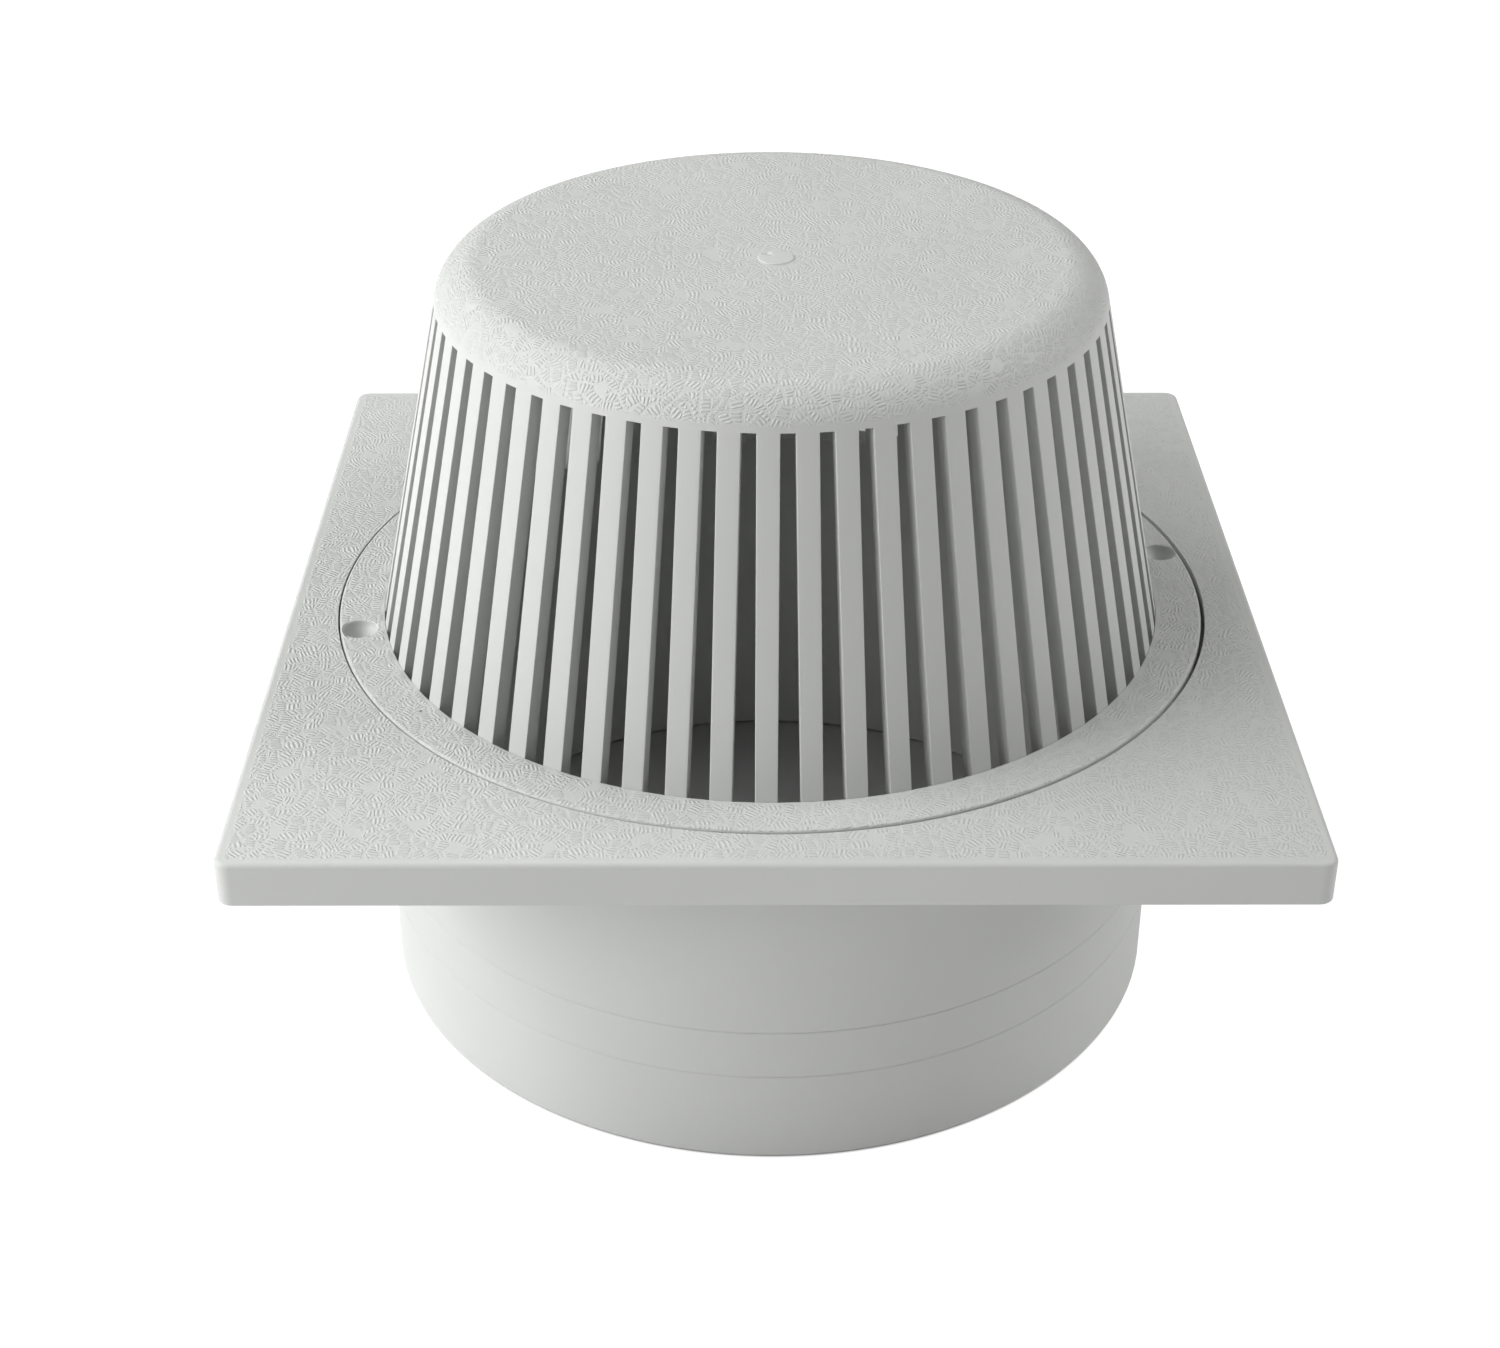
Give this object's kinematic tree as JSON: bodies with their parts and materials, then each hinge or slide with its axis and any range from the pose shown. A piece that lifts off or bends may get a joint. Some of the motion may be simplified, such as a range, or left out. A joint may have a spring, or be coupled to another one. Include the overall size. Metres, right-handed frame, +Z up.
{
  "type": "flat roof drain",
  "caption": "Square flanged roof outlet with a round pipe spigot below and a slotted dome leaf grate seated in its flange.",
  "frame": {"origin": "centre of the spigot's open bottom end, in the plane that it stands on", "axes": "+Z up along the axis of the spigot and dome, X and Y square to the flange's sides, -Y towards the viewer of the picture"},
  "size_m": [0.2, 0.2, 0.1585],
  "materials": {
    "body_plastic": "light grey moulded plastic, satin, with a fine hatched texture on the flange's top face",
    "grate_plastic": "light grey moulded plastic, satin, smooth bars and a fine hatched texture on the ring and cap"
  },
  "bodies": {
    "root": {"drain_body": "body_plastic", "dome_grate": "grate_plastic"}
  },
  "joints": []
}
